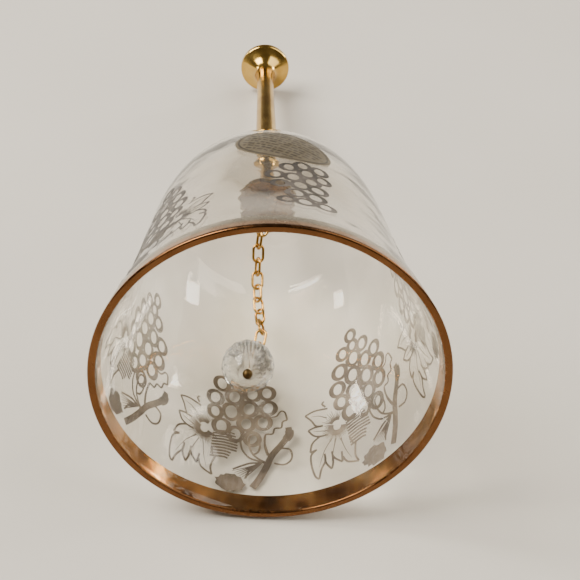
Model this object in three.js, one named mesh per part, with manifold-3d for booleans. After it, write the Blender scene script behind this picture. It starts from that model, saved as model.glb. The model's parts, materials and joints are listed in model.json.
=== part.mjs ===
// A glass dinner bell lying on its side: a blown glass bowl, a gilt rod handle screwed to its crown,
// and a clapper of a faceted glass bead on a fine cable chain. Millimetres, +Z up.
//
// Every piece is first placed in the bell's own frame: z runs up the bell's axis from the mouth to
// the handle, y points to the side that lies underneath, and x runs across. The finished bell is then
// tipped over on to its mouth rim and the edge of its handle disc, which both touch the plane z = 0.

import * as THREE from 'three';
import { mergeVertices } from 'three/addons/utils/BufferGeometryUtils.js';
import Module from 'manifold-3d';

const wasm = await Module();
wasm.setup();

// ---- Driving dimensions -------------------------------------------------------------------------

const DEGREE = Math.PI / 180;
const CLEARANCE = 0.3;

const MOUTH_RADIUS = 38;
const CROWN_HEIGHT = 77.4;
const TOTAL_HEIGHT = 170;
const WALL = 1.6;
const CROWN_WALL = 2.2;
const LIP_ROUND = 0.45;
const BOWL_SIDES = 40;

const STUD_RADIUS = 1.0;
const BORE_RADIUS = STUD_RADIUS + CLEARANCE;
const SEAL_THICKNESS = 0.4;
const SEAL_RADIUS = 7.4;
const WASHER_THICKNESS = 0.5;
const WASHER_RADIUS = 6.9;
const NUT_THICKNESS = 1.6;
const NUT_ACROSS_FLATS = 5.0;
const EYE_RADIUS = 1.7;
const EYE_WIRE = 0.5;

const FLANGE_RADIUS = 5.0;
const NECK_RADIUS = 1.75;
const COLLAR_RADIUS = 3.9;
const HANDLE_BASE_HEIGHT = 24.6;
const DISC_RADIUS = 7.8;
const HANDLE_SIDES = 24;

const LINK_COUNT = 11;
const LINK_WIRE = 0.36;
const LINK_LENGTH = 4.45;
const LINK_WIDTH = 2.5;

const BEAD_RADIUS = 6.5;
const BEAD_HEIGHT = 33.8;
const BEAD_ROLL = -10.1 * DEGREE;
const BEAD_GAP = 2.4;
const PIN_RADIUS = 0.4;
const PIN_LOOP_RADIUS = 1.25;
const PIN_LOOP_WIRE = 0.32;

const LABEL_LENGTH = 25;
const LABEL_WIDTH = 19;
const LABEL_THICKNESS = 0.15;
const LABEL_HEIGHT = 52.5;
const LABEL_TILT = -33 * DEGREE;

// Heights up the axis that follow from the sizes above.
const CROWN_UNDERSIDE = CROWN_HEIGHT - CROWN_WALL;
const INNER_SEAL_TOP = CROWN_UNDERSIDE - CLEARANCE;
const INNER_WASHER_TOP = INNER_SEAL_TOP - SEAL_THICKNESS - CLEARANCE;
const NUT_TOP = INNER_WASHER_TOP - WASHER_THICKNESS - CLEARANCE;
const EYE_HEIGHT = NUT_TOP - NUT_THICKNESS - CLEARANCE - EYE_WIRE - EYE_RADIUS;
const OUTER_SEAL_BASE = CROWN_HEIGHT + CLEARANCE;
const FLANGE_BASE = OUTER_SEAL_BASE + SEAL_THICKNESS + CLEARANCE;
const COLLAR_TOP = FLANGE_BASE + HANDLE_BASE_HEIGHT;
const ROD_BASE = COLLAR_TOP + CLEARANCE;
const STUD_TOP = ROD_BASE + 6;

// ---- Materials ----------------------------------------------------------------------------------

function material(color, roughness, metalness, opacity = 1) {
  return new THREE.MeshStandardMaterial({ color, roughness, metalness, opacity, transparent: opacity < 1 });
}

const glass = material(0xe9ece8, 0.05, 0, 0.35);
const crystal = material(0xf4f4f2, 0.02, 0, 0.4);
const gilt = material(0xd6a860, 0.18, 1);
const chainGold = material(0xc79a55, 0.25, 1);
const brass = material(0xb48a4e, 0.3, 1);
const clearPlastic = material(0xdedccf, 0.4, 0, 0.6);
const foil = material(0x8d8a70, 0.4, 0.6);

// ---- Shape helpers ------------------------------------------------------------------------------

// A closed [radius, height] outline turned about the z axis. Half a side of offset puts a flat facet
// of the polygon underneath, so that the bell lies steady.
function turned(outline, sides) {
  const points = outline.map(([radius, height]) => new THREE.Vector2(radius, height));
  return new THREE.LatheGeometry(points, sides, Math.PI / sides).rotateX(Math.PI / 2);
}

// A flat washer with its lower face at the given height.
function washer(outerRadius, innerRadius, base, thickness, sides) {
  const top = base + thickness;
  const outline = [[innerRadius, base], [outerRadius, base], [outerRadius, top], [innerRadius, top],
    [innerRadius, base]];
  return turned(outline, sides);
}

function solid(geometry) {
  const bare = geometry.clone();
  bare.deleteAttribute('normal');
  bare.deleteAttribute('uv');
  const merged = mergeVertices(bare, 1e-5);
  const vertProperties = new Float32Array(merged.attributes.position.array);
  const triVerts = new Uint32Array(merged.index.array);
  return new wasm.Manifold(new wasm.Mesh({ numProp: 3, vertProperties, triVerts }));
}

function geometryOf(manifold) {
  const mesh = manifold.getMesh();
  const geometry = new THREE.BufferGeometry();
  geometry.setAttribute('position', new THREE.BufferAttribute(mesh.vertProperties, 3));
  geometry.setIndex(new THREE.BufferAttribute(mesh.triVerts, 1));
  return geometry;
}

function piece(name, geometry, look) {
  const mesh = new THREE.Mesh(geometry, look);
  mesh.name = name;
  return mesh;
}

// Points a mesh's own z axis along the given direction and its own x axis across it, as near as can be
// to the given side direction.
function aim(mesh, direction, side) {
  const along = direction.clone().normalize();
  const normal = new THREE.Vector3().crossVectors(along, side).normalize();
  const across = new THREE.Vector3().crossVectors(normal, along);
  mesh.quaternion.setFromRotationMatrix(new THREE.Matrix4().makeBasis(across, normal, along));
}

// ---- The glass bowl -----------------------------------------------------------------------------

// The outside of the bowl: a flared mouth, nearly straight sides, a round shoulder and a low crown.
const bowlCurve = new THREE.SplineCurve([
  new THREE.Vector2(MOUTH_RADIUS, LIP_ROUND),
  new THREE.Vector2(36.1, 10),
  new THREE.Vector2(33.8, 20),
  new THREE.Vector2(31.9, 32),
  new THREE.Vector2(30.2, 46),
  new THREE.Vector2(28.2, 59),
  new THREE.Vector2(24.8, 70),
  new THREE.Vector2(21, 73.8),
  new THREE.Vector2(14.5, 76.5),
  new THREE.Vector2(7.8, CROWN_HEIGHT),
]);

// A point at part t of the way up the bowl, moved outwards by the given distance.
function bowlPoint(t, distance) {
  const point = bowlCurve.getPointAt(t);
  const tangent = bowlCurve.getTangentAt(t);
  return [point.x + tangent.y * distance, point.y - tangent.x * distance];
}

// The wall thickens smoothly from the mouth to the crown.
function wallAt(t) {
  return WALL + (CROWN_WALL - WALL) * t ** 3;
}

function bowlSide(steps, distanceAt) {
  const side = [];
  for (let i = 0; i <= steps; i += 1) {
    side.push(bowlPoint(i / steps, distanceAt(i / steps)));
  }
  return side;
}

function glassBowl() {
  const outside = bowlSide(15, () => 0);
  const inside = bowlSide(15, (t) => -wallAt(t)).reverse();
  const lip = [[MOUTH_RADIUS - WALL + LIP_ROUND, 0], [MOUTH_RADIUS - LIP_ROUND, 0]];
  const holeRadius = BORE_RADIUS + CLEARANCE;
  const crown = [[holeRadius, CROWN_HEIGHT], [holeRadius, CROWN_UNDERSIDE]];
  const outline = [...outside, ...crown, ...inside, ...lip, outside[0]];
  return piece('glass_bowl', turned(outline, BOWL_SIDES), glass);
}

// A thin oval sticker that follows the outside of the bowl, on the side that lies on top.
function ovalLabel() {
  const from = 0.45;
  const to = 0.77;
  const steps = 10;
  const inner = [];
  const outer = [];
  for (let i = 0; i <= steps; i += 1) {
    const t = from + (to - from) * (i / steps);
    inner.push(bowlPoint(t, CLEARANCE / 2));
    outer.push(bowlPoint(t, CLEARANCE / 2 + LABEL_THICKNESS));
  }
  const shell = turned([...outer, ...inner.reverse(), outer[0]], BOWL_SIDES);
  const oval = new THREE.Shape();
  oval.absellipse(0, 0, LABEL_LENGTH / 2, LABEL_WIDTH / 2, 0, 2 * Math.PI, false, 0);
  const cutter = new THREE.ExtrudeGeometry(oval, { depth: 30, bevelEnabled: false, curveSegments: 12 });
  cutter.rotateZ(LABEL_TILT).rotateX(Math.PI / 2);
  cutter.translate(1.5, -10, LABEL_HEIGHT);
  return piece('oval_label', geometryOf(solid(shell).intersect(solid(cutter))), foil);
}

// ---- The handle and what holds it ---------------------------------------------------------------

// A turned foot for the rod: a flat flange that sweeps in to a thin neck and out again to a collar.
function handleBase() {
  const sweep = new THREE.QuadraticBezierCurve(
    new THREE.Vector2(FLANGE_RADIUS - 0.5, FLANGE_BASE + 1.4),
    new THREE.Vector2(NECK_RADIUS, FLANGE_BASE + 3.2),
    new THREE.Vector2(NECK_RADIUS, FLANGE_BASE + 12.5),
  );
  const flange = [[FLANGE_RADIUS, FLANGE_BASE], [FLANGE_RADIUS, FLANGE_BASE + 1]];
  const foot = sweep.getPoints(6).map((point) => [point.x, point.y]);
  const collar = [[NECK_RADIUS, COLLAR_TOP - 8], [COLLAR_RADIUS - 0.6, COLLAR_TOP - 3.2],
    [COLLAR_RADIUS, COLLAR_TOP - 2], [COLLAR_RADIUS, COLLAR_TOP - 0.5], [COLLAR_RADIUS - 0.5, COLLAR_TOP]];
  const bore = [[BORE_RADIUS, COLLAR_TOP], [BORE_RADIUS, FLANGE_BASE], flange[0]];
  return piece('handle_base', turned([...flange, ...foot, ...collar, ...bore], HANDLE_SIDES), gilt);
}

// A slim rod with a blind threaded hole below and a trumpet flare out to a thin domed disc above.
function handleRod() {
  const discEdge = 1.6;
  const discTop = TOTAL_HEIGHT - 1.2;
  const flareBase = TOTAL_HEIGHT - 9;
  const boreTop = STUD_TOP + CLEARANCE;
  const stem = [[3.1, ROD_BASE], [2.92, 122], [2.62, 145], [2.6, flareBase]];
  const flare = new THREE.QuadraticBezierCurve(
    new THREE.Vector2(2.7, flareBase + 1.5),
    new THREE.Vector2(2.9, discTop - discEdge - 0.6),
    new THREE.Vector2(DISC_RADIUS - 0.4, discTop - discEdge - 0.4),
  );
  const flared = flare.getPoints(5).map((point) => [point.x, point.y]);
  const disc = [
    [DISC_RADIUS, discTop - discEdge],
    [DISC_RADIUS, discTop],
    [DISC_RADIUS - 0.8, discTop + 0.7],
    [4, TOTAL_HEIGHT - 0.1],
    [0, TOTAL_HEIGHT],
  ];
  const bore = [[0, boreTop], [BORE_RADIUS, boreTop], [BORE_RADIUS, ROD_BASE]];
  const outline = [...bore, ...stem, ...flared, ...disc];
  return piece('handle_rod', turned(outline, HANDLE_SIDES), gilt);
}

// The threaded stud that runs from the rod through the crown, with a closed wire eye below. The eye
// lies in the plane of y and z.
function screwEye() {
  const stud = new THREE.CylinderGeometry(STUD_RADIUS, STUD_RADIUS, STUD_TOP - EYE_HEIGHT - EYE_RADIUS, 16);
  stud.rotateX(Math.PI / 2).translate(0, 0, (STUD_TOP + EYE_HEIGHT + EYE_RADIUS) / 2);
  const eye = new THREE.TorusGeometry(EYE_RADIUS, EYE_WIRE, 8, 20);
  eye.rotateY(Math.PI / 2).translate(0, 0, EYE_HEIGHT);
  return piece('screw_eye', geometryOf(solid(stud).add(solid(eye))), brass);
}

function hexNut() {
  const base = NUT_TOP - NUT_THICKNESS;
  const cornerRadius = NUT_ACROSS_FLATS / 2 / Math.cos(30 * DEGREE);
  const block = new THREE.CylinderGeometry(cornerRadius, cornerRadius, NUT_THICKNESS, 6);
  const bore = new THREE.CylinderGeometry(BORE_RADIUS, BORE_RADIUS, NUT_THICKNESS * 2, 16);
  const nut = geometryOf(solid(block).subtract(solid(bore)));
  nut.rotateX(Math.PI / 2).translate(0, 0, base + NUT_THICKNESS / 2);
  return piece('hex_nut', nut, brass);
}

function innerWasher() {
  const disc = washer(WASHER_RADIUS, BORE_RADIUS, INNER_WASHER_TOP - WASHER_THICKNESS, WASHER_THICKNESS, 24);
  return piece('inner_washer', disc, brass);
}

// Soft clear discs that keep the metal off both faces of the glass crown.
function innerSeal() {
  const disc = washer(SEAL_RADIUS, BORE_RADIUS, INNER_SEAL_TOP - SEAL_THICKNESS, SEAL_THICKNESS, 24);
  return piece('inner_seal', disc, clearPlastic);
}

function outerSeal() {
  const disc = washer(FLANGE_RADIUS + 0.4, BORE_RADIUS, OUTER_SEAL_BASE, SEAL_THICKNESS, 24);
  return piece('outer_seal', disc, clearPlastic);
}

// ---- The clapper --------------------------------------------------------------------------------

const ACROSS = new THREE.Vector3(1, 0, 0);

// The inside radius of the bowl at a height up its axis.
function innerRadiusAt(height) {
  const samples = bowlSide(400, (t) => -wallAt(t));
  const nearest = samples.reduce((a, b) => (Math.abs(b[1] - height) < Math.abs(a[1] - height) ? b : a));
  return nearest[0];
}

const beadReach = innerRadiusAt(BEAD_HEIGHT) - BEAD_RADIUS - BEAD_GAP;
const beadCentre = new THREE.Vector3(
  beadReach * Math.sin(BEAD_ROLL),
  beadReach * Math.cos(BEAD_ROLL),
  BEAD_HEIGHT,
);
// From the pin's ball head, which faces the mouth, through the bead to the pin's loop.
const pinDirection = new THREE.Vector3(0.03, 0.37, 0.91).normalize();
const loopDistance = BEAD_RADIUS + PIN_LOOP_RADIUS + PIN_LOOP_WIRE + 0.7;
const loopCentre = beadCentre.clone().addScaledVector(pinDirection, loopDistance);
// The loop is turned to take the last link, which comes down to it from one side.
const pinSide = new THREE.Vector3(0.94, -0.32, 0.1);
const loopNormal = pinDirection.clone().cross(pinSide).normalize();

// A point moved straight away from another one.
function movedAwayFrom(other, point, distance) {
  const direction = point.clone().sub(other).normalize();
  return point.clone().addScaledVector(direction, distance);
}

// The point on a ring's wire that is nearest the given point. The ring has the given normal.
function nearestOnRing(point, centre, normal, radius) {
  return point.clone().sub(centre).projectOnPlane(normal).setLength(radius).add(centre);
}

// The chain sags from the eye towards the bead, with a slight bow to one side, and its last link turns
// aside to the pin's loop. Both ends lie a little inside the wires of the eye and the loop, so that the
// end links reach round them.
const eyeCentre = new THREE.Vector3(0, 0, EYE_HEIGHT);
const afterEye = new THREE.Vector3(-1.65, 3.3, 67.3);
const beforeLoop = new THREE.Vector3(-0.95, 21.87, 44.28);
const eyeContact = nearestOnRing(afterEye, eyeCentre, ACROSS, EYE_RADIUS);
const loopContact = nearestOnRing(beforeLoop, loopCentre, loopNormal, PIN_LOOP_RADIUS);
const chainEnd = movedAwayFrom(beforeLoop, loopContact, PIN_LOOP_WIRE + 0.1);
const chainPath = new THREE.CatmullRomCurve3([
  movedAwayFrom(afterEye, eyeContact, EYE_WIRE + 0.1),
  afterEye,
  new THREE.Vector3(-1.9, 9.3, 64.0),
  new THREE.Vector3(-1.7, 15.7, 58.2),
  new THREE.Vector3(-0.9, 19.0, 52.2),
  new THREE.Vector3(-0.41, 19.95, 47.1),
  beforeLoop,
]);

// How far each link is turned about the chain, in degrees. The upper links hang nearly square to one
// another and the lower ones are loosely wound.
const LINK_ROLLS = [0, 70, 0, 70, 0, 50, -26, 45, -60, 14, 125];

// An oval ring of round wire, long in z: a torus whose two halves are drawn apart.
function linkGeometry() {
  const bend = LINK_WIDTH / 2;
  const stretch = LINK_LENGTH / 2 - bend;
  const ring = new THREE.TorusGeometry(bend, LINK_WIRE, 6, 16).rotateX(Math.PI / 2);
  const position = ring.attributes.position;
  for (let i = 0; i < position.count; i += 1) {
    const height = position.getZ(i);
    const side = Math.abs(height) < LINK_WIRE / 10 ? 0 : Math.sign(height);
    position.setZ(i, height + side * stretch);
  }
  return ring;
}

// The points where each link meets the next, from the eye to the pin's loop.
function chainJoints() {
  return [...chainPath.getSpacedPoints(LINK_COUNT - 1), chainEnd];
}

function chainLinks() {
  const joints = chainJoints();
  return LINK_ROLLS.map((roll, index) => {
    const start = joints[index];
    const end = joints[index + 1];
    const along = end.clone().sub(start).normalize();
    const link = piece(`chain_link_${String(index + 1).padStart(2, '0')}`, linkGeometry(), chainGold);
    link.position.addVectors(start, end).divideScalar(2);
    aim(link, along, ACROSS.clone().applyAxisAngle(along, roll * DEGREE));
    return link;
  });
}

// A faceted ball with a hole along its own z axis.
function glassBead() {
  const holeRadius = PIN_RADIUS + CLEARANCE;
  const rings = 8;
  const poleAngle = Math.asin(holeRadius / BEAD_RADIUS);
  const outline = [];
  for (let i = 0; i <= rings; i += 1) {
    const angle = poleAngle + (Math.PI - 2 * poleAngle) * (i / rings);
    outline.push([BEAD_RADIUS * Math.sin(angle), -BEAD_RADIUS * Math.cos(angle)]);
  }
  outline.push(outline[0]);
  const bead = piece('glass_bead', turned(outline, 14), crystal);
  bead.position.copy(beadCentre);
  aim(bead, pinDirection, ACROSS);
  return bead;
}

// A ball-headed wire pin whose other end is turned into a closed loop.
function beadPin() {
  const headRadius = 1.2;
  const headHeight = -BEAD_RADIUS - headRadius * 0.8;
  const shankTop = loopDistance - PIN_LOOP_RADIUS;
  const shank = new THREE.CylinderGeometry(PIN_RADIUS, PIN_RADIUS, shankTop - headHeight, 10);
  shank.rotateX(Math.PI / 2).translate(0, 0, (shankTop + headHeight) / 2);
  const head = new THREE.SphereGeometry(headRadius, 12, 8).translate(0, 0, headHeight);
  const loop = new THREE.TorusGeometry(PIN_LOOP_RADIUS, PIN_LOOP_WIRE, 6, 16);
  loop.rotateX(Math.PI / 2).translate(0, 0, loopDistance);
  const pin = piece('bead_pin', geometryOf(solid(shank).add(solid(head)).add(solid(loop))), chainGold);
  pin.position.copy(beadCentre);
  aim(pin, pinDirection, pinSide);
  return pin;
}

// ---- The bell, laid on its side -----------------------------------------------------------------

const bell = new THREE.Group();
bell.add(glassBowl(), ovalLabel(), handleBase(), handleRod(), screwEye(), hexNut(), innerWasher());
bell.add(innerSeal(), outerSeal(), ...chainLinks(), glassBead(), beadPin());

// The mouth's flat underneath and the disc's flat underneath lie in one plane.
const mouthReach = MOUTH_RADIUS * Math.cos(Math.PI / BOWL_SIDES);
const discReach = DISC_RADIUS * Math.cos(Math.PI / HANDLE_SIDES);
const tilt = Math.atan2(mouthReach - discReach, TOTAL_HEIGHT - 1.2 - LIP_ROUND);
bell.rotation.x = -(90 * DEGREE + tilt);

// The origin is on that plane, under the middle of the bell.
bell.updateMatrixWorld(true);
const extent = new THREE.Box3().setFromObject(bell, true);
const middle = extent.getCenter(new THREE.Vector3());
bell.position.set(-middle.x, -middle.y, -extent.min.z);

const part = new THREE.Group();
part.add(bell);

export default part;
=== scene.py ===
"""The finished looks of the glass bell, built round its CAD frame.

Shapes are laid out in the bell's own frame, in millimetres: z runs up the bell's axis from the mouth
to the handle, y points to the side that lies underneath, and x runs across. BELL carries that frame
into the row frame, in metres.
"""

import json
import math
import random

import bpy
from mathutils import Matrix, Vector


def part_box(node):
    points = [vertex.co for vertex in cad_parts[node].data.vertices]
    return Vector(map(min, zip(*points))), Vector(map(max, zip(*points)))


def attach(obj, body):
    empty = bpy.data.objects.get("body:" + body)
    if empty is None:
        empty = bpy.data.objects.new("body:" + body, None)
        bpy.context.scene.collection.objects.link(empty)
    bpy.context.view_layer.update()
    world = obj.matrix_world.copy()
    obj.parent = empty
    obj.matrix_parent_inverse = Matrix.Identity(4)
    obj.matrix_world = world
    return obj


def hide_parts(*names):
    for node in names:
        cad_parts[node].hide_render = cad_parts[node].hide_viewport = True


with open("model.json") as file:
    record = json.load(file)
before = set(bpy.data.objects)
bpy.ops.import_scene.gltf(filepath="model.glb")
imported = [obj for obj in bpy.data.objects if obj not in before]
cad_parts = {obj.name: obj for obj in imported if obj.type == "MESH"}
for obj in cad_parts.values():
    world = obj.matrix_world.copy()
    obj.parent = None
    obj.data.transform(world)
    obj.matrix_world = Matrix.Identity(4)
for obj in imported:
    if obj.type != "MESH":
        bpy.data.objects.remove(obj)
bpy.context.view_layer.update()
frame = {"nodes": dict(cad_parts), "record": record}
random.seed(7)

# ---- The bell's own frame ---------------------------------------------------------------------

MM = 0.001
mount = frame["record"]["mounts"][0]
AXIS = -Vector(mount["axis"])
UNDER = Vector((0, AXIS.z, -AXIS.y))
ACROSS = Vector((1, 0, 0))


def centre_of(node):
    low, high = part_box(node)
    return (low + high) / 2


def frame_matrix(x, y, z, origin):
    """Carries millimetres along three given directions from an origin into the row frame."""
    turn = Matrix((x, y, z)).transposed().to_4x4()
    return Matrix.Translation(origin) @ turn @ Matrix.Scale(MM, 4)


nut_centre = centre_of("hex_nut")
MOUTH = nut_centre - AXIS * (nut_centre - Vector(mount["pos_m"])).dot(AXIS)
BELL = frame_matrix(ACROSS, UNDER, AXIS, MOUTH)

# ---- Sizes, in millimetres --------------------------------------------------------------------

MOUTH_RADIUS = 38
CROWN_HEIGHT = 77.4
TOTAL_HEIGHT = 170
WALL = 1.6
CROWN_WALL = 2.2
LIP_ROUND = 0.45
CROWN_HOLE = 1.6
BORE = 1.3
LIP_LIFT = 0.08

# Round pieces are drawn just inside the flats of the CAD model's 40-sided bowl and 24-sided handle.
BOWL_FIT = math.cos(math.pi / 40) - 0.0022
HANDLE_FIT = math.cos(math.pi / 24) - 0.001

BOWL_POINTS = [
    (MOUTH_RADIUS, LIP_ROUND),
    (36.1, 10),
    (33.8, 20),
    (31.9, 32),
    (30.2, 46),
    (28.2, 59),
    (24.8, 70),
    (21, 73.8),
    (14.5, 76.5),
    (7.8, CROWN_HEIGHT),
]

BAND_HEIGHT = 5.6
PRINT_LIFT = 0.035
PRINT_RADIUS = 33.5

LABEL_LENGTH = 24.4
LABEL_WIDTH = 18.4
LABEL_HEIGHT = 52.5
LABEL_ASIDE = 1.5
LABEL_TILT_DEGREES = -33
LABEL_RADIUS = 29.5
LABEL_LIFT = 0.15
LABEL_INK_LIFT = 0.19

NUT_HALF = 2.5
NUT_LOW = 71.8
NUT_HIGH = 73.4
EYE_HEIGHT = 69.3
EYE_RADIUS = 1.7
EYE_WIRE = 0.49
THREAD_ROOT = 0.84
THREAD_CREST = 0.99
THREAD_PITCH = 0.7

# Rings and loops are measured along the middle of their wire. Wires are given by their radius.
LINK_COUNT = 11
LINK_LENGTH = 4.45
LINK_WIDTH = 2.5
LINK_WIRE = 0.355

BEAD_RADIUS = 6.46
BEAD_HALF_LENGTH = 6.5
BEAD_HOLE = 0.72
PIN_HEAD_RADIUS = 1.2
PIN_WIRE = 0.39
PIN_LOOP_RADIUS = 1.25
PIN_LOOP_WIRE = 0.315
PIN_NECK = 1.02

# ---- Curves -----------------------------------------------------------------------------------


def blend_points(before, start, end, after, t):
    """A point on the Catmull-Rom curve between start and end."""
    result = []
    for a, b, c, d in zip(before, start, end, after):
        first = (c - a) / 2
        last = (d - b) / 2
        cubic = (2 * b - 2 * c + first + last) * t ** 3
        square = (3 * c - 3 * b - 2 * first - last) * t ** 2
        result.append(cubic + square + first * t + b)
    return tuple(result)


def smooth_curve(points, steps):
    """The smooth curve through the points, with the given number of steps between each two."""
    curve = []
    last = len(points) - 1
    for i in range(last):
        before = points[max(i - 1, 0)]
        after = points[min(i + 2, last)]
        for k in range(steps):
            curve.append(blend_points(before, points[i], points[i + 1], after, k / steps))
    curve.append(points[last])
    return curve


def evenly(curve, count):
    """The curve resampled at even distances along it."""
    lengths = [0.0]
    for a, b in zip(curve, curve[1:]):
        lengths.append(lengths[-1] + math.dist(a, b))
    result = []
    at = 0
    for i in range(count + 1):
        wanted = lengths[-1] * i / count
        while at < len(curve) - 2 and lengths[at + 1] < wanted:
            at += 1
        part = (wanted - lengths[at]) / (lengths[at + 1] - lengths[at])
        result.append(tuple(a + (b - a) * part for a, b in zip(curve[at], curve[at + 1])))
    return result


OUTSIDE = evenly(smooth_curve(BOWL_POINTS, 12), 90)


def outward(index):
    """The direction straight out of the bowl's profile at one of its points."""
    before = OUTSIDE[max(index - 1, 0)]
    after = OUTSIDE[min(index + 1, len(OUTSIDE) - 1)]
    along = (after[0] - before[0], after[1] - before[1])
    length = math.hypot(*along)
    return along[1] / length, -along[0] / length


def profile_at(height):
    """The bowl's outside radius at a height, and the direction straight out of it there."""
    for i in range(len(OUTSIDE) - 1):
        (r0, z0), (r1, z1) = OUTSIDE[i], OUTSIDE[i + 1]
        if z0 <= height <= z1:
            part = (height - z0) / (z1 - z0)
            n0, n1 = outward(i), outward(i + 1)
            normal = (n0[0] + (n1[0] - n0[0]) * part, n0[1] + (n1[1] - n0[1]) * part)
            return r0 + (r1 - r0) * part, normal
    return OUTSIDE[0][0], outward(0)


def on_bowl(azimuth, height, lift):
    """A point that far above the bowl's outside. Azimuth is in radians from underneath towards +x."""
    radius, normal = profile_at(height)
    reach = radius * BOWL_FIT + normal[0] * lift
    return reach * math.sin(azimuth), reach * math.cos(azimuth), height + normal[1] * lift


# ---- Meshes -----------------------------------------------------------------------------------


def piece(name, points, faces, body, slot, look, place=BELL, sharp=35):
    """A mesh piece from points in millimetres, which rides on a body."""
    mesh = bpy.data.meshes.new(name)
    mesh.from_pydata([place @ Vector(p) for p in points], [], faces)
    mesh.validate()
    mesh.shade_smooth()
    mesh.set_sharp_from_angle(angle=math.radians(sharp))
    obj = bpy.data.objects.new(name, mesh)
    bpy.context.collection.objects.link(obj)
    obj.data.materials.append(look)
    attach(obj, body)
    return obj


def turned(outline, sides):
    """Points and faces of a [radius, height] outline turned about z. Ends at radius 0 close up."""
    points = []
    rings = []
    for radius, height in outline:
        if radius < 1e-6:
            rings.append([len(points)] * sides)
            points.append((0, 0, height))
            continue
        rings.append(list(range(len(points), len(points) + sides)))
        for k in range(sides):
            angle = 2 * math.pi * k / sides
            points.append((radius * math.cos(angle), radius * math.sin(angle), height))
    faces = []
    for low, high in zip(rings, rings[1:]):
        for k in range(sides):
            n = (k + 1) % sides
            corners = [low[k], low[n], high[n], high[k]]
            faces.append(list(dict.fromkeys(corners)))
    return points, faces


def turned_loop(outline, sides):
    """As turned, for an outline that goes round and meets itself."""
    points, faces = turned(outline, sides)
    last = len(points) - sides
    for k in range(sides):
        n = (k + 1) % sides
        faces.append([last + k, last + n, n, k])
    return points, faces


def swept(path, radius, sides, closed, side):
    """Points and faces of round wire along a path. The side direction is never along the path."""
    points = []
    count = len(path)
    for i, here in enumerate(path):
        ahead = path[(i + 1) % count] if closed or i + 1 < count else here
        behind = path[i - 1] if closed or i > 0 else here
        along = (Vector(ahead) - Vector(behind)).normalized()
        first = along.cross(side).normalized()
        second = along.cross(first)
        for k in range(sides):
            angle = 2 * math.pi * k / sides
            offset = first * math.cos(angle) + second * math.sin(angle)
            points.append(tuple(Vector(here) + offset * radius))
    faces = []
    for i in range(count if closed else count - 1):
        n = (i + 1) % count
        for k in range(sides):
            m = (k + 1) % sides
            faces.append([i * sides + k, i * sides + m, n * sides + m, n * sides + k])
    if not closed:
        faces.append(list(range(sides))[::-1])
        faces.append(list(range((count - 1) * sides, count * sides)))
    return points, faces


def merged(*parts):
    """Several point and face lists as one."""
    points, faces = [], []
    for more_points, more_faces in parts:
        start = len(points)
        points += more_points
        faces += [[start + i for i in face] for face in more_faces]
    return points, faces


def moved(part, matrix):
    points, faces = part
    return [tuple(matrix @ Vector(p)) for p in points], faces


# ---- Materials --------------------------------------------------------------------------------


class Look:
    """A material with a Principled shader, and short ways to wire textures into it."""

    def __init__(self, name, **settings):
        self.material = bpy.data.materials.new(name)
        self.material.use_nodes = True
        self.nodes = self.material.node_tree.nodes
        self.links = self.material.node_tree.links
        self.shader = self.nodes["Principled BSDF"]
        self.output = self.nodes["Material Output"]
        self.where = self.nodes.new("ShaderNodeTexCoord").outputs["Object"]
        for socket, value in settings.items():
            self.shader.inputs[socket.replace("_", " ")].default_value = value

    def wire(self, source, target):
        self.links.new(source, target)

    def noise(self, scale, detail=4, stretch=(1, 1, 1)):
        mapping = self.nodes.new("ShaderNodeMapping")
        mapping.inputs["Scale"].default_value = stretch
        texture = self.nodes.new("ShaderNodeTexNoise")
        texture.inputs["Scale"].default_value = scale
        texture.inputs["Detail"].default_value = detail
        self.wire(self.where, mapping.inputs["Vector"])
        self.wire(mapping.outputs["Vector"], texture.inputs["Vector"])
        return texture.outputs["Fac"]

    def ramp(self, source, *stops):
        """A colour ramp. Each stop is a position and a colour, or a position and a grey."""
        ramp = self.nodes.new("ShaderNodeValToRGB")
        elements = ramp.color_ramp.elements
        while len(elements) < len(stops):
            elements.new(0.5)
        for element, (position, colour) in zip(elements, stops):
            element.position = position
            grey = isinstance(colour, (int, float))
            element.color = (colour, colour, colour, 1) if grey else (*colour, 1)
        self.wire(source, ramp.inputs["Fac"])
        return ramp.outputs["Color"]

    def height(self, span, unevenness):
        """The height up the bell's axis from the mouth, as a part of a span in millimetres."""
        along = self.nodes.new("ShaderNodeVectorMath")
        along.operation = "DOT_PRODUCT"
        along.inputs[1].default_value = AXIS
        self.wire(self.where, along.inputs[0])
        part = self.nodes.new("ShaderNodeMapRange")
        part.inputs["From Min"].default_value = MOUTH.dot(AXIS)
        part.inputs["From Max"].default_value = MOUTH.dot(AXIS) + span * MM
        self.wire(along.outputs["Value"], part.inputs["Value"])
        ripple = self.nodes.new("ShaderNodeMath")
        ripple.operation = "MULTIPLY_ADD"
        ripple.inputs[1].default_value = unevenness
        self.wire(self.noise(150, 6), ripple.inputs[0])
        self.wire(part.outputs["Result"], ripple.inputs[2])
        return ripple.outputs["Value"]

    def bump(self, source, strength, distance):
        bump = self.nodes.new("ShaderNodeBump")
        bump.inputs["Strength"].default_value = strength
        bump.inputs["Distance"].default_value = distance
        self.wire(source, bump.inputs["Height"])
        self.wire(bump.outputs["Normal"], self.shader.inputs["Normal"])

    def let_lamps_through(self, tint):
        """Light reaches what is inside thin glass, so its shadow is only a pale tint."""
        path = self.nodes.new("ShaderNodeLightPath")
        clear = self.nodes.new("ShaderNodeBsdfTransparent")
        clear.inputs["Color"].default_value = (*tint, 1)
        mix = self.nodes.new("ShaderNodeMixShader")
        self.wire(path.outputs["Is Shadow Ray"], mix.inputs["Fac"])
        self.wire(self.shader.outputs["BSDF"], mix.inputs[1])
        self.wire(clear.outputs["BSDF"], mix.inputs[2])
        self.wire(mix.outputs["Shader"], self.output.inputs["Surface"])


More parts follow.
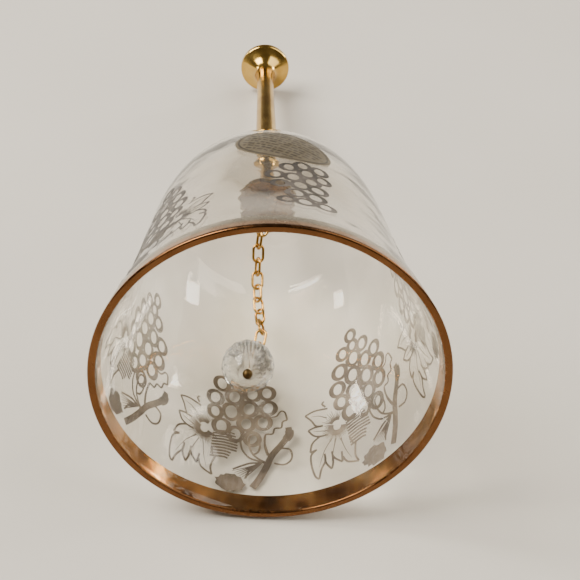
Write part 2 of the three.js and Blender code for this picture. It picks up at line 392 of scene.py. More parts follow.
def bell_glass():
    """Clear blown glass, with the faint waves and the odd dull smear of an old bell."""
    look = Look("bell_glass", Transmission_Weight=1.0, IOR=1.5)
    tint = look.ramp(look.noise(45, 5), (0.3, (0.77, 0.73, 0.66)), (0.7, (0.93, 0.915, 0.885)))
    look.wire(tint, look.shader.inputs["Base Color"])
    smear = look.ramp(look.noise(140, 6), (0.5, 0.0), (0.85, 0.09))
    look.wire(smear, look.shader.inputs["Roughness"])
    look.bump(look.noise(90, 2), 0.12, 0.0006)
    look.let_lamps_through((0.93, 0.93, 0.92))
    return look.material


def bead_crystal():
    """Cut crystal, a little scratched along its facets."""
    look = Look("bead_crystal", Transmission_Weight=0.94, IOR=1.55)
    tint = look.ramp(look.noise(420, 5), (0.3, (0.52, 0.51, 0.47)), (0.7, (0.86, 0.86, 0.84)))
    look.wire(tint, look.shader.inputs["Base Color"])
    scuff = look.ramp(look.noise(1500, 6), (0.35, 0.05), (0.75, 0.20))
    look.wire(scuff, look.shader.inputs["Roughness"])
    look.let_lamps_through((0.75, 0.75, 0.75))
    return look.material


def polished(name, light, dark, roughness, scratch):
    """Plated metal: a slow change of colour, cloudy handling marks and fine scratches."""
    look = Look(name, Metallic=1.0)
    tone = look.ramp(look.noise(120, 5), (0.3, dark), (0.7, light))
    look.wire(tone, look.shader.inputs["Base Color"])
    cloud = look.ramp(look.noise(260, 8), (0.35, roughness), (0.8, roughness + 0.16))
    look.wire(cloud, look.shader.inputs["Roughness"])
    look.bump(look.noise(2600, 3, (1, 0.15, 1)), scratch, 0.00003)
    return look.material


def gold_band():
    """Fired-on gold as it looks from outside the glass, with painted reflection in its colour: dark at the
    lip and greyer above.
    """
    look = Look("gold_band", Metallic=1.0)
    # Painted reflection: the colour runs by height from dark brown at the lip through copper to grey at the
    # band's top edge, standing in for what the gold reflects.
    tone = look.ramp(
        look.height(BAND_HEIGHT, 0.3),
        (0.12, (0.13, 0.055, 0.02)),
        (0.30, (0.20, 0.09, 0.035)),
        (0.42, (0.42, 0.22, 0.10)),
        (0.62, (0.36, 0.23, 0.13)),
        (0.80, (0.30, 0.26, 0.20)),
        (1.10, (0.40, 0.36, 0.29)),
    )
    look.wire(tone, look.shader.inputs["Base Color"])
    worn = look.ramp(look.noise(420, 6), (0.35, 0.18), (0.8, 0.38))
    look.wire(worn, look.shader.inputs["Roughness"])
    look.bump(look.noise(1500, 4), 0.2, 0.00003)
    return look.material


def gold_band_back():
    """The coppery underside of the same gold, seen through the glass from inside the bell."""
    look = Look("gold_band_back", Metallic=1.0)
    tone = look.ramp(
        look.noise(75, 5),
        (0.36, (0.22, 0.09, 0.03)),
        (0.48, (0.58, 0.28, 0.09)),
        (0.62, (0.84, 0.50, 0.20)),
        (0.72, (0.97, 0.70, 0.36)),
    )
    look.wire(tone, look.shader.inputs["Base Color"])
    worn = look.ramp(look.noise(260, 6), (0.3, 0.05), (0.8, 0.24))
    look.wire(worn, look.shader.inputs["Roughness"])
    look.bump(look.noise(300, 4), 0.4, 0.00008)
    return look.material


def vine_print(name, dark, middle, pale):
    """The thin taupe metal of the vine print, thinner and paler in patches."""
    look = Look(name, Metallic=0.2)
    tone = look.ramp(look.noise(170, 7), (0.3, dark), (0.5, middle), (0.72, pale))
    look.wire(tone, look.shader.inputs["Base Color"])
    worn = look.ramp(look.noise(700, 5), (0.35, 0.35), (0.8, 0.6))
    look.wire(worn, look.shader.inputs["Roughness"])
    look.bump(look.noise(2400, 3), 0.25, 0.00003)
    return look.material


def label_foil(name, light, dark):
    """Dulled metallic paper with a fine horizontal grain."""
    look = Look(name, Metallic=0.3)
    tone = look.ramp(look.noise(900, 6, (1, 6, 1)), (0.3, dark), (0.75, light))
    look.wire(tone, look.shader.inputs["Base Color"])
    worn = look.ramp(look.noise(400, 5), (0.35, 0.32), (0.8, 0.55))
    look.wire(worn, look.shader.inputs["Roughness"])
    look.bump(look.noise(1800, 4), 0.3, 0.00005)
    return look.material


def washer_plastic():
    """Soft plastic, half clear and browned with age."""
    look = Look("washer_plastic", Transmission_Weight=0.7, IOR=1.42)
    tone = look.ramp(look.noise(300, 5), (0.3, (0.14, 0.09, 0.03)), (0.75, (0.30, 0.21, 0.09)))
    look.wire(tone, look.shader.inputs["Base Color"])
    worn = look.ramp(look.noise(700, 5), (0.35, 0.25), (0.8, 0.45))
    look.wire(worn, look.shader.inputs["Roughness"])
    look.let_lamps_through((0.6, 0.5, 0.34))
    return look.material


def pale_floor():
    """A plain matt surface, faintly uneven."""
    look = Look("pale_floor")
    tone = look.ramp(look.noise(9, 4), (0.3, (0.655, 0.60, 0.515)), (0.7, (0.695, 0.64, 0.555)))
    look.wire(tone, look.shader.inputs["Base Color"])
    worn = look.ramp(look.noise(60, 5), (0.3, 0.75), (0.8, 0.9))
    look.wire(worn, look.shader.inputs["Roughness"])
    look.bump(look.noise(900, 3), 0.12, 0.0002)
    return look.material


GLASS = bell_glass()
CRYSTAL = bead_crystal()
HANDLE_GOLD = polished("handle_gold", (0.74, 0.49, 0.14), (0.50, 0.29, 0.06), 0.13, 0.12)
CHAIN_GOLD = polished("chain_gold", (0.82, 0.52, 0.17), (0.48, 0.27, 0.07), 0.12, 0.2)
FITTING = polished("fitting_brass", (0.30, 0.15, 0.035), (0.09, 0.04, 0.01), 0.2, 0.25)
# A much darker gold than the chain's, used for the pin's ball and shank.
DARK_PIN_GOLD = polished("dark_pin_gold", (0.13, 0.08, 0.03), (0.05, 0.03, 0.012), 0.35, 0.2)
BAND = gold_band()
BAND_BACK = gold_band_back()
PRINT = vine_print("vine_print", (0.028, 0.024, 0.021), (0.060, 0.050, 0.042), (0.12, 0.10, 0.085))
PRINT_BACK = vine_print("vine_print_back", (0.07, 0.052, 0.037), (0.145, 0.110, 0.080), (0.25, 0.197, 0.145))
FOIL = label_foil("label_foil", (0.20, 0.160, 0.098), (0.09, 0.070, 0.042))
FOIL_INK = label_foil("label_ink", (0.035, 0.026, 0.017), (0.015, 0.011, 0.008))
SEAL = washer_plastic()

# ---- The glass bowl and its gilded lip --------------------------------------------------------


def wall_at(part):
    return WALL + (CROWN_WALL - WALL) * part ** 3


def rounded_lip(inner, outer, low, turn):
    """The lip's underside from its outer to its inner edge, with both edges rounded."""
    result = []
    for k in range(7):
        angle = math.pi / 2 * k / 6
        result.append((outer - turn + turn * math.cos(angle), low + turn - turn * math.sin(angle)))
    for k in range(7):
        angle = math.pi / 2 * k / 6
        result.append((inner + turn - turn * math.sin(angle), low + turn - turn * math.cos(angle)))
    return result


def glass_bowl():
    steps = len(OUTSIDE) - 1
    outer = [(r * BOWL_FIT, z + LIP_LIFT * (1 - i / steps)) for i, (r, z) in enumerate(OUTSIDE)]
    inner = []
    for i, (radius, height) in enumerate(OUTSIDE):
        out_r, out_z = outward(i)
        wall = wall_at(i / steps)
        inner.append(((radius - out_r * wall) * BOWL_FIT, height - out_z * wall))
    inner[0] = (inner[0][0], LIP_LIFT + LIP_ROUND)
    hole = [(CROWN_HOLE + 0.05, CROWN_HEIGHT), (CROWN_HOLE + 0.05, CROWN_HEIGHT - CROWN_WALL)]
    lip = rounded_lip(inner[0][0], outer[0][0], LIP_LIFT, LIP_ROUND)
    outline = lip[::-1] + outer[1:] + hole + inner[::-1][:-1]
    points, faces = turned_loop(outline, 144)
    bowl = piece("bowl_clear_glass", points, faces, "bell", "bell_glass", GLASS)
    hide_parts("glass_bowl")


def band_profile(lift, top):
    """The gold's own profile: up the bowl's outside to its top edge, after going round the lip."""
    count = 8
    rise = []
    for k in range(1, count + 1):
        height = LIP_ROUND + (top - LIP_ROUND) * k / count
        radius, normal = profile_at(height)
        rise.append((radius * BOWL_FIT + normal[0] * lift, height + normal[1] * lift))
    outer = MOUTH_RADIUS * BOWL_FIT + lift
    inner = (MOUTH_RADIUS - WALL) * BOWL_FIT - lift
    lip = rounded_lip(inner, outer, LIP_LIFT - lift, LIP_ROUND)
    return lip[::-1] + rise


def gilded_band():
    """Two skins a hair apart: the gold as seen from outside, and its underside against the glass."""
    front = turned(band_profile(0.045, BAND_HEIGHT), 144)
    back = turned(band_profile(0.02, BAND_HEIGHT), 144)
    back = (back[0], [face[::-1] for face in back[1]])
    points, faces = merged(front, back)
    band = piece("lip_gilding", points, faces, "bell", "rim_gilding", BAND)
    band.data.materials.append(BAND_BACK)
    half = len(front[1])
    for polygon in band.data.polygons:
        polygon.material_index = 0 if polygon.index < half else 1


glass_bowl()
gilded_band()

# ---- The vine print ---------------------------------------------------------------------------


def line(points, width, taper=False):
    """A flat stroke along 2-D points, narrowing to its far end if asked."""
    stroke_points, faces = [], []
    count = len(points)
    for i, (u, v) in enumerate(points):
        ahead = points[min(i + 1, count - 1)]
        behind = points[max(i - 1, 0)]
        du, dv = ahead[0] - behind[0], ahead[1] - behind[1]
        length = math.hypot(du, dv) or 1
        half = width / 2 * (1 - 0.8 * i / (count - 1) if taper else 1)
        stroke_points.append((u - dv / length * half, v + du / length * half))
        stroke_points.append((u + dv / length * half, v - du / length * half))
        if i:
            k = 2 * i
            faces.append([k - 2, k - 1, k + 1, k])
    return stroke_points, faces


def curve_line(points, width, taper=False, steps=6):
    return line(smooth_curve(points, steps), width, taper)


def oval(u, v, across, along, turn, steps=20):
    """Points round an oval, turned anticlockwise."""
    result = []
    for k in range(steps):
        angle = 2 * math.pi * k / steps
        a, b = across * math.cos(angle), along * math.sin(angle)
        result.append((u + a * math.cos(turn) - b * math.sin(turn),
                       v + a * math.sin(turn) + b * math.cos(turn)))
    return result


def between(outer, inner):
    """The filled ring between two closed outlines of as many points."""
    count = len(outer)
    faces = []
    for k in range(count):
        n = (k + 1) % count
        faces.append([k, n, count + n, count + k])
    return outer + inner, faces


# Each grape of a bunch: where it is across and along the bell, and half its length. The bunch's tip
# points to the crown.
BUNCH = [
    (0.1, 46.6, 1.5), (-3.6, 42.3, 1.6), (0.0, 43.0, 1.4), (3.3, 41.1, 1.7), (-0.5, 38.8, 2.0),
    (-5.5, 37.0, 1.9), (6.9, 36.0, 1.8), (3.0, 35.4, 1.9), (-1.8, 33.6, 2.0), (-7.0, 31.8, 1.8),
    (7.2, 31.0, 1.8), (2.2, 30.4, 2.0), (-2.4, 28.6, 2.2), (-6.6, 27.4, 1.6), (5.8, 26.4, 1.8),
    (1.6, 25.6, 1.8), (-4.6, 23.4, 1.9), (-0.9, 22.0, 1.7), (3.2, 21.2, 1.6),
]
# The bunch of the printing that lies on top, half under the label.
TOP_BUNCH = [
    (1.6, 38.0, 1.7), (-1.9, 39.9, 1.7), (-6.0, 38.9, 1.8), (4.9, 33.0, 1.7), (-2.7, 35.7, 1.9),
    (-6.2, 33.6, 1.7), (0.8, 32.2, 1.9), (-3.3, 30.9, 1.8), (3.9, 27.8, 1.6), (-0.6, 27.6, 2.0),
    (-4.4, 26.4, 1.9), (0.6, 22.3, 1.9), (-3.4, 21.2, 1.9), (-0.8, 16.9, 1.8), (-5.0, 16.4, 1.7),
    (2.8, 17.6, 1.5),
]


def reach_of_cell(u, v, angle, others, limit):
    """How far a grape's dark surround runs in one direction, before it meets the next grape's."""
    reach = limit
    for other_u, other_v, _ in others:
        facing = math.cos(angle - math.atan2(other_v - v, other_u - u))
        if facing > 0.05:
            reach = min(reach, math.hypot(other_u - u, other_v - v) / 2 / facing + 0.03)
    return reach


def grape_cluster(grapes, margin):
    """Clear ovals in a dark ground that fills the room between them."""
    parts = []
    for grape in grapes:
        u, v, size = grape
        others = [other for other in grapes if other is not grape]
        turn = random.uniform(-0.35, 0.1)
        steps = 28
        outer, inner = [], []
        for k in range(steps):
            angle = 2 * math.pi * k / steps
            reach = reach_of_cell(u, v, angle, others, size + margin)
            across = math.cos(angle - turn) / (size * 0.76)
            along = math.sin(angle - turn) / size
            clear = min(0.92 / math.hypot(across, along), reach - 0.32)
            outer.append((u + reach * math.cos(angle), v + reach * math.sin(angle)))
            inner.append((u + clear * math.cos(angle), v + clear * math.sin(angle)))
        parts.append(between(outer, inner))
    return parts


def strokes(paths, width, taper=False):
    return [curve_line(path, width, taper) for path in paths]


def hatched_fan(u, v, near, far, first, last, count, width):
    """Strokes that fan out round one point, between two distances and two angles in degrees."""
    parts = []
    for k in range(count):
        angle = math.radians(first + (last - first) * k / (count - 1))
        reach = far * random.uniform(0.8, 1.1)
        start = (u + near * math.cos(angle), v + near * math.sin(angle))
        end = (u + reach * math.cos(angle), v + reach * math.sin(angle))
        parts.append(line([start, end], width, taper=True))
    return parts


def blot(u, v, size):
    """A filled patch with an uneven edge."""
    count = 30
    middle = oval(u, v, size * 0.6, size * 0.45, 0, count)
    edge = []
    for k in range(count):
        angle = 2 * math.pi * k / count
        reach = size * random.uniform(0.85, 1.15)
        edge.append((u + 1.15 * reach * math.cos(angle), v + 0.85 * reach * math.sin(angle)))
    points, faces = between(edge, middle)
    faces += [[2 * count, count + k, count + (k + 1) % count] for k in range(count)]
    return points + [(u, v)], faces


def vine_leaf():
    """A leaf of pointed, curling lobes that hangs from the bunch down to the band."""
    edges = [
        [(-11.3, 30.0), (-11.9, 29.3), (-11.1, 28.1)],
        [(-10.6, 27.4), (-14.1, 27.9), (-16.7, 27.1)],
        [(-16.7, 27.1), (-15.3, 25.3), (-14.2, 23.2), (-12.5, 22.7)],
        [(-12.5, 22.7), (-14.6, 22.9), (-16.3, 22.4)],
        [(-16.3, 22.4), (-15.1, 20.6), (-13.6, 19.9), (-11.5, 19.7)],
        [(-13.6, 19.9), (-15.6, 18.5), (-16.4, 16.1)],
        [(-16.4, 16.1), (-14.8, 16.5)],
        [(-14.8, 16.5), (-16.3, 15.2), (-16.4, 12.1), (-15.9, 9.4), (-15.1, 8.4)],
        [(-15.1, 8.4), (-14.4, 10.8), (-13.2, 12.8), (-13.1, 14.8)],
        [(-13.2, 13.4), (-13.0, 12.0), (-12.0, 10.2)],
        [(-12.0, 10.2), (-11.4, 12.1), (-11.3, 14.8)],
        [(-11.3, 13.6), (-10.7, 12.5), (-9.3, 11.0)],
        [(-9.3, 11.0), (-9.0, 13.8)],
        [(-9.0, 12.4), (-8.1, 10.5), (-5.5, 9.3)],
        [(-5.5, 9.3), (-6.0, 11.5), (-5.1, 14.9)],
        [(-6.4, 16.6), (-5.9, 14.6)],
    ]
    veins = [
        [(-11.2, 24.6), (-13.2, 26.0), (-15.2, 26.4)],
        [(-11.4, 20.8), (-13.4, 21.4), (-15.0, 21.8)],
        [(-10.6, 18.4), (-13.0, 15.6), (-14.8, 11.6)],
        [(-9.8, 17.8), (-10.8, 15.2), (-11.8, 12.0)],
        [(-8.6, 17.4), (-8.0, 14.0), (-7.0, 11.0)],
    ]
    parts = strokes(edges, 0.5) + strokes(veins, 0.32, taper=True)
    parts += hatched_fan(-8.9, 21.0, 1.0, 3.9, 150, 345, 30, 0.42)
    parts += hatched_fan(-8.9, 21.6, 1.2, 4.2, 60, 150, 12, 0.36)
    for k in range(10):
        v = 22.0 - 0.8 * k
        right = -0.2 - 0.07 * (v - 18.4) ** 2 - (1.2 if v < 17 else 0)
        parts.append(curve_line([(-6.6, v - 0.5), (-3.5, v + 0.1), (right, v - 0.1)], 0.5))
    return parts


def stems():
    """The stems below the bunch, a small wavy leaf beside them and a curled tendril."""
    paths = [
        [(0.4, 20.2), (0.9, 17.9), (2.5, 15.9), (4.6, 15.1), (6.4, 14.6)],
        [(2.5, 19.3), (3.3, 17.1), (4.9, 15.6), (6.3, 14.9)],
        [(2.5, 19.3), (2.6, 21.6), (4.2, 22.2), (5.1, 19.5), (4.7, 17.5), (3.7, 16.8)],
        [(6.4, 22.4), (6.3, 19.2), (7.0, 16.6)],
        [(5.9, 27.8), (7.2, 28.1), (9.2, 28.3), (10.4, 29.8), (11.5, 29.4), (12.0, 26.9)],
        [(12.0, 26.9), (10.8, 26.4), (10.4, 24.7), (8.8, 24.5), (8.2, 22.9), (6.5, 22.6), (6.3, 20.0),
         (7.3, 16.3)],
        [(10.2, 18.6), (12.3, 17.9), (12.5, 15.4), (10.8, 14.0), (8.4, 14.5)],
        [(5.6, 14.5), (2.7, 14.2), (-0.9, 12.1)],
        [(5.6, 14.5), (3.3, 13.2), (2.0, 10.0)],
    ]
    return strokes(paths, 0.5)


def branch():
    """The thick cut branch that runs up from the gold band, and the worn stub beside it."""
    parts = strokes([[(12.2, 24.6), (12.1, 22.2), (10.2, 19.5), (8.0, 16.7), (6.7, 13.6), (5.2, 10.4),
                      (3.6, 7.6)]], 1.6)
    parts += strokes([[(12.4, 23.6), (12.3, 22.2), (11.4, 21.0)]], 2.2)
    parts.append(blot(-1.4, 8.3, 2.8))
    for k in range(6):
        parts.append(line([(5.2, 14.2), (-1.0 + 0.55 * k, 11.6 - 0.35 * k)], 0.5, taper=True))
    return parts


def vine_motif():
    return merged(*(grape_cluster(BUNCH, 0.8) + vine_leaf() + stems() + branch()))


def print_on_bowl(name, motif, azimuth):
    """A flat motif laid on the bowl: a dark outer skin, and a paler one seen through the glass."""
    points, faces = motif
    low, high = [], []
    for u, v in points:
        angle = azimuth + u / PRINT_RADIUS
        low.append(on_bowl(angle, v, PRINT_LIFT * 0.4))
        high.append(on_bowl(angle, v, PRINT_LIFT))
    count = len(points)
    back = [[count + i for i in face[::-1]] for face in faces]
    print_piece = piece(name, high + low, faces + back, "bell", "grape_print", PRINT)
    print_piece.data.materials.append(PRINT_BACK)
    for polygon in print_piece.data.polygons:
        polygon.material_index = 0 if polygon.vertices[0] < count else 1


def vine_print_pieces():
    """Five printings of the vine round the bell, at a slightly uneven pitch, and a bunch on top."""
    for number, degrees in enumerate((-126, -66, -9, 48, 103)):
        print_on_bowl(f"vine_print_{number + 1}", vine_motif(), math.radians(degrees))
    print_on_bowl("vine_print_6", merged(*grape_cluster(TOP_BUNCH, 0.8)), math.radians(173))


vine_print_pieces()

# ---- The label --------------------------------------------------------------------------------


def label_point(along, across, lift):
    """A point of the tilted label on the bell's upper side."""
    tilt = math.radians(LABEL_TILT_DEGREES)
    u = LABEL_ASIDE + along * math.cos(tilt) - across * math.sin(tilt)
    v = along * math.sin(tilt) + across * math.cos(tilt)
    return on_bowl(math.pi - u / LABEL_RADIUS, LABEL_HEIGHT + v, lift)


def label_patch(length, width, rings, lift):
    points = [label_point(0, 0, lift)]
    sides = 56
    for ring in range(1, rings + 1):
        part = ring / rings
        for u, v in oval(0, 0, length / 2 * part, width / 2 * part, 0, sides):
            points.append(label_point(u, v, lift))
    faces = []
    for k in range(sides):
        faces.append([0, 1 + k, 1 + (k + 1) % sides])
    for ring in range(rings - 1):
        start = 1 + ring * sides
        for k in range(sides):
            n = (k + 1) % sides
            faces.append([start + k, start + n, start + sides + n, start + sides + k])
    return points, faces


def label_lines():
    """A plain printed border and rows of short worn dashes, with no lettering."""
    outer = oval(0, 0, 11.5, 8.5, 0, 56)
    inner = oval(0, 0, 11.1, 8.1, 0, 56)
    parts = [between(outer, inner)]
    for row in range(-4, 5):
        half = 10.0 * math.sqrt(1 - (row / 5.2) ** 2)
        along = -half
        while along < half - 0.8:
            length = random.uniform(0.7, 2.0)
            across = row * 1.5 + random.uniform(-0.1, 0.1)
            end = min(along + length, half)
            parts.append(line([(along, across), (end, across)], random.uniform(0.5, 0.8)))
            along += length + random.uniform(0.25, 0.6)
    points, faces = merged(*parts)
    return [label_point(u, v, LABEL_INK_LIFT) for u, v in points], faces


def oval_label():
    skin = label_patch(LABEL_LENGTH, LABEL_WIDTH, 10, LABEL_LIFT)
    label = piece("oval_sticker", *skin, "bell", "label_foil", FOIL)
    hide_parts("oval_label")
    piece("oval_sticker_print", *label_lines(), "bell", "label_foil", FOIL_INK)


oval_label()

# ---- The handle and its fastening -------------------------------------------------------------

FLANGE_BASE = 78.4
COLLAR_TOP = FLANGE_BASE + 24.6
ROD_BASE = COLLAR_TOP + 0.3
STUD_TOP = ROD_BASE + 6


def fitted(outline, fit):
    return [(radius * fit, height) for radius, height in outline]


def handle_base():
    foot = smooth_curve(
        [(4.45, FLANGE_BASE + 1.4), (3.2, FLANGE_BASE + 2.8), (2.4, FLANGE_BASE + 5.0),
         (1.9, FLANGE_BASE + 8.6), (1.75, FLANGE_BASE + 12.5), (1.75, COLLAR_TOP - 8.2),
         (2.1, COLLAR_TOP - 5.6), (2.9, COLLAR_TOP - 3.4), (3.75, COLLAR_TOP - 2.1)], 6)
    outline = [(BORE, FLANGE_BASE), (4.8, FLANGE_BASE), (5.0, FLANGE_BASE + 0.2), (5.0, FLANGE_BASE + 0.85),
               (4.85, FLANGE_BASE + 1.1)]
    outline += foot
    outline += [(3.9, COLLAR_TOP - 1.6), (3.9, COLLAR_TOP - 0.6), (3.7, COLLAR_TOP - 0.2), (3.4, COLLAR_TOP)]
    outline += [(BORE, COLLAR_TOP)]
    points, faces = turned_loop(fitted(outline, HANDLE_FIT), 72)
    base = piece("handle_foot", points, faces, "bell", "handle_gold", HANDLE_GOLD)
    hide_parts("handle_base")


def handle_rod():
    top = TOTAL_HEIGHT - 0.05
    stem = smooth_curve(
        [(2.9, ROD_BASE + 0.3), (3.08, ROD_BASE + 1.0), (2.92, 122), (2.64, 145), (2.62, 158),
         (2.85, 161.4), (3.5, 163.4), (4.6, 164.9), (6.1, 166.1), (7.45, 166.85)], 6)
    disc = [(7.65, 167.0), (7.77, 167.3), (7.8, 167.7), (7.8, 168.5), (7.65, 168.9), (7.2, 169.3),
            (6.0, 169.6), (4.0, 169.85), (2.0, top - 0.02), (0, top)]
    bore = [(0, STUD_TOP + 0.3), (BORE, STUD_TOP + 0.3), (BORE, ROD_BASE), (2.7, ROD_BASE)]
    points, faces = turned(fitted(bore + stem + disc, HANDLE_FIT), 72)
    rod = piece("handle_stem_and_disc", points, faces, "bell", "handle_gold", HANDLE_GOLD)
    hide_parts("handle_rod")


def flat_ring(name, node, radius, low, thickness, slot, look):
    """A flat ring with its edges turned off a little, round the stud."""
    high = low + thickness
    outline = [(BORE, low), (radius - 0.1, low), (radius, low + 0.1), (radius, high - 0.1),
               (radius - 0.1, high), (BORE, high)]
    ring = piece(name, *turned_loop(outline, 72), "bell", slot, look)
    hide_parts(node)


def washers():
    flat_ring("upper_seal", "outer_seal", 5.36, 77.7, 0.4, "washer_plastic", SEAL)
    flat_ring("lower_seal", "inner_seal", 7.36, 74.5, 0.4, "washer_plastic", SEAL)
    flat_ring("plate_washer", "inner_washer", 6.86, 73.7, 0.5, "fitting_brass", FITTING)


def hex_nut():
    """A six-sided nut with its corners turned off above and below."""
    corner = NUT_HALF / math.cos(math.pi / 6) - 0.02
    outline = [(BORE, NUT_LOW), (corner * 0.88, NUT_LOW), (corner, NUT_LOW + 0.3),
               (corner, NUT_HIGH - 0.3), (corner * 0.88, NUT_HIGH), (BORE, NUT_HIGH)]
    points, faces = [], []
    sides = 48
    for radius, height in outline:
        for k in range(sides):
            angle = 2 * math.pi * k / sides
            folded = (angle + math.pi / 6) % (math.pi / 3) - math.pi / 6
            flat = NUT_HALF / math.cos(folded) if radius > BORE else radius
            reach = min(radius, flat)
            points.append((reach * math.sin(angle), reach * math.cos(angle), height))
    rings = len(outline)
    for i in range(rings):
        n = (i + 1) % rings
        for k in range(sides):
            m = (k + 1) % sides
            faces.append([i * sides + m, i * sides + k, n * sides + k, n * sides + m])
    nut = piece("crown_nut", points, faces, "bell", "fitting_brass", FITTING, sharp=20)
    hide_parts("hex_nut")


def screw_eye():
    """A threaded stud that ends in a closed eye of round wire."""
    ring = []
    for k in range(48):
        angle = 2 * math.pi * k / 48
        ring.append((0, EYE_RADIUS * math.cos(angle), EYE_HEIGHT + EYE_RADIUS * math.sin(angle)))
    height = EYE_HEIGHT + EYE_RADIUS
    thread = [(0, height - 0.3)]
    while height < STUD_TOP - THREAD_PITCH:
        thread += [(THREAD_ROOT, height), (THREAD_CREST, height + THREAD_PITCH / 2)]
        height += THREAD_PITCH
    thread += [(THREAD_ROOT, STUD_TOP - 0.1), (0, STUD_TOP - 0.05)]
    parts = merged(swept(ring, EYE_WIRE, 16, True, ACROSS), turned(thread, 32))
    eye = piece("stud_and_eye", *parts, "bell", "fitting_brass", FITTING)
    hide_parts("screw_eye")


handle_base()
handle_rod()
washers()
hex_nut()
screw_eye()

# ---- The chain --------------------------------------------------------------------------------


def frame_of(node):
    """A node's centre and the directions of its longest, middle and shortest spread of points."""
    points = [vertex.co.copy() for vertex in frame["nodes"][node].data.vertices]
    low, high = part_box(node)
    centre = sum(points, Vector()) / len(points)
    spread = Matrix(((0, 0, 0), (0, 0, 0), (0, 0, 0)))
    for point in points:
        offset = point - centre
        for i in range(3):
            for k in range(3):
                spread[i][k] += offset[i] * offset[k]
    spread = spread * (1 / (high - low).length_squared)
    longest = dominant(spread, Vector((0.31, 0.52, 0.79)))
    size = (spread @ longest).length
    rest = spread.copy()
    for i in range(3):
        for k in range(3):
            rest[i][k] -= size * longest[i] * longest[k]
    middle = dominant(rest, longest.orthogonal())
    middle = (middle - longest * middle.dot(longest)).normalized()
    return centre, longest, middle, longest.cross(middle)


def dominant(matrix, guess):
    """The direction that a symmetric matrix stretches the most."""
    direction = guess.normalized()
    for _ in range(400):
        direction = (matrix @ direction).normalized()
    return direction


def oval_path(length, width, steps):
    """A ring's centre line: two half rounds joined by straight sides, long in z."""
    bend = width / 2
    straight = (length - width) / 2
    path = []
    for k in range(steps):
        angle = 2 * math.pi * k / steps
        side = 1 if math.sin(angle) >= 0 else -1
        path.append((bend * math.cos(angle), 0, bend * math.sin(angle) + side * straight))
    return path


def chain_links():
    for index in range(1, LINK_COUNT + 1):
        node = f"chain_link_{index:02d}"
        centre, longest, middle, normal = frame_of(node)
        place = frame_matrix(middle, normal, longest, centre)
        path = oval_path(LINK_LENGTH, LINK_WIDTH, 44)
        wire = swept(path, LINK_WIRE, 14, True, Vector((0, 1, 0)))
        link = piece(f"ring_{index:02d}", *wire, f"link_{index:02d}", "chain_gold", CHAIN_GOLD, place)
        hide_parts(node)


chain_links()

# ---- The bead and its pin ---------------------------------------------------------------------


def pin_frame():
    """The pin's frame at the bead's centre: z runs to its loop, and the loop lies in x and z."""
    bead = centre_of("glass_bead")
    centre, longest, middle, normal = frame_of("bead_pin")
    last_link = centre_of(f"chain_link_{LINK_COUNT:02d}")
    if (last_link - bead).dot(longest) < 0:
        longest = -longest
        normal = -normal
    return frame_matrix(middle, normal, longest, bead)


def cut_bead(place):
    """A round bead cut in many bands of small triangular facets, with a hole along its axis."""
    sides = 14
    bands = 9
    pole = math.asin(BEAD_HOLE / BEAD_RADIUS)
    points = []
    for row in range(bands + 1):
        angle = pole + (math.pi - 2 * pole) * row / bands
        for k in range(sides):
            turn = 2 * math.pi * (k + 0.5 * (row % 2)) / sides
            radius = BEAD_RADIUS * math.sin(angle)
            points.append((radius * math.cos(turn), radius * math.sin(turn), BEAD_RADIUS * math.cos(angle)))
    faces = []
    for row in range(bands):
        low, high = row * sides, (row + 1) * sides
        for k in range(sides):
            n = (k + 1) % sides
            if row % 2 == 0:
                faces.append([low + k, high + k, low + n])
                faces.append([low + n, high + k, high + n])
            else:
                faces.append([low + k, high + k, high + n])
                faces.append([low + k, high + n, low + n])
    last = bands * sides
    for k in range(sides):
        n = (k + 1) % sides
        faces.append([last + k, k, n, last + n])
    bead = piece("cut_crystal_bead", points, faces, "bead", "bead_crystal", CRYSTAL, place, sharp=1)
    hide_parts("glass_bead")


def ball_pin(place):
    """A head pin: a ball at the mouth end, a wire shank and a loop that holds the last link."""
    head_height = -BEAD_HALF_LENGTH - PIN_HEAD_RADIUS * 0.8
    loop_height = BEAD_HALF_LENGTH + PIN_LOOP_RADIUS + PIN_NECK
    ball = []
    for k in range(17):
        angle = math.pi * k / 16
        ball.append((PIN_HEAD_RADIUS * math.sin(angle), head_height - PIN_HEAD_RADIUS * math.cos(angle)))
    straight = [(0, 0, head_height), (0, 0, 0), (0, 0, loop_height - PIN_LOOP_RADIUS)]
    shank = swept(straight, PIN_WIRE, 16, False, ACROSS)
    circle = oval_path(2 * PIN_LOOP_RADIUS, 2 * PIN_LOOP_RADIUS, 40)
    loop = swept(circle, PIN_LOOP_WIRE, 14, True, Vector((0, 1, 0)))
    loop = moved(loop, Matrix.Translation((0, 0, loop_height)))
    head = turned([(max(r, 0), z) for r, z in ball], 28)
    pin = piece("head_pin", *merged(head, shank, loop), "bead_pin", "chain_gold", CHAIN_GOLD, place)
    # The ball and shank take the much darker gold, and the loop takes the chain's gold.
    pin.data.materials.append(DARK_PIN_GOLD)
    for polygon in pin.data.polygons:
        polygon.material_index = 1 if polygon.index < len(head[1] + shank[1]) else 0
    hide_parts("bead_pin")


PIN = pin_frame()
cut_bead(PIN)
ball_pin(PIN)

# ---- Floor, light and camera ------------------------------------------------------------------


def floor():
    mesh = bpy.data.meshes.new("floor")
    half = 3.0
    corners = [(-half, -half, 0), (half, -half, 0), (half, half, 0), (-half, half, 0)]
    mesh.from_pydata(corners, [], [(0, 1, 2, 3)])
    ground = bpy.data.objects.new("floor", mesh)
    bpy.context.collection.objects.link(ground)
    mesh.materials.append(pale_floor())


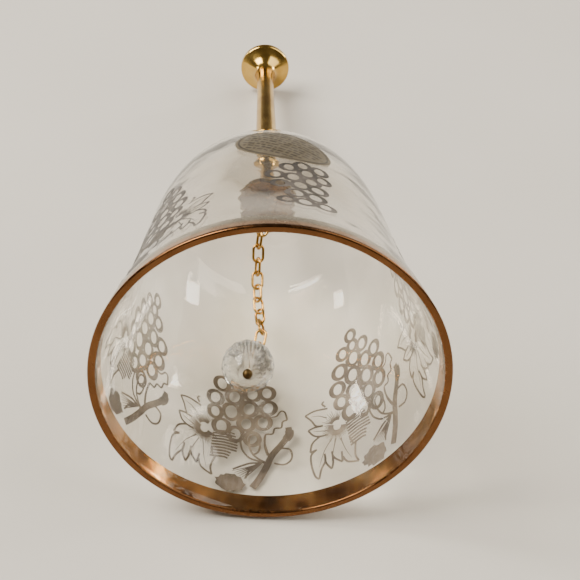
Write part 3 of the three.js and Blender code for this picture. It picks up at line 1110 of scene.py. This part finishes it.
def soft_lamp(name, place, target, size, power, colour):
    lamp = bpy.data.lights.new(name, "AREA")
    lamp.shape = "RECTANGLE"
    lamp.size, lamp.size_y = size
    lamp.energy = power
    lamp.color = colour
    obj = bpy.data.objects.new(name, lamp)
    obj.location = place
    obj.rotation_euler = (Vector(target) - Vector(place)).to_track_quat("-Z", "Y").to_euler()
    bpy.context.collection.objects.link(obj)


def studio():
    """A dim room round the bell, with two large soft lamps above it and two small ones behind."""
    world = bpy.data.worlds.new("studio")
    world.use_nodes = True
    nodes, links = world.node_tree.nodes, world.node_tree.links
    direction = nodes.new("ShaderNodeTexCoord")
    split = nodes.new("ShaderNodeSeparateXYZ")
    ramp = nodes.new("ShaderNodeValToRGB")
    ramp.color_ramp.elements[0].position = 0.02
    ramp.color_ramp.elements[0].color = (0.40, 0.37, 0.33, 1)
    ramp.color_ramp.elements[1].position = 0.22
    ramp.color_ramp.elements[1].color = (0.11, 0.096, 0.076, 1)
    links.new(direction.outputs["Generated"], split.inputs["Vector"])
    links.new(split.outputs["Z"], ramp.inputs["Fac"])
    links.new(ramp.outputs["Color"], nodes["Background"].inputs["Color"])
    nodes["Background"].inputs["Strength"].default_value = 1.0
    bpy.context.scene.world = world
    middle = (0, 0, 0.03)
    soft_lamp("window", (-1.3, 0.1, 1.5), middle, (1.2, 1.2), 72, (1.0, 0.98, 0.93))
    soft_lamp("fill", (1.6, 0.2, 1.5), middle, (2.2, 2.2), 48, (1.0, 0.98, 0.94))
    soft_lamp("left_strip", (-1.0, 0.75, 0.24), middle, (0.12, 0.20), 2.2, (1.0, 0.98, 0.94))
    soft_lamp("right_strip", (1.0, 0.75, 0.24), middle, (0.16, 0.30), 4.4, (1.0, 0.98, 0.94))


def camera():
    """Above and in front of the mouth, looking down into the bell and a little to the right."""
    right = Vector((0.99683, -0.01088, 0.07880))
    up = Vector((-0.05002, 0.68426, 0.72750))
    back = Vector((-0.06186, -0.72917, 0.68158))
    data = bpy.data.cameras.new("camera")
    data.sensor_width = 36
    data.lens = 74.48
    data.clip_start = 0.01
    obj = bpy.data.objects.new("camera", data)
    turn = Matrix((right, up, back)).transposed().to_4x4()
    place = MOUTH + Vector((-0.012375, -0.16788, 0.18380))
    obj.matrix_world = Matrix.Translation(place) @ turn
    bpy.context.collection.objects.link(obj)
    bpy.context.scene.camera = obj


floor()
studio()
camera()
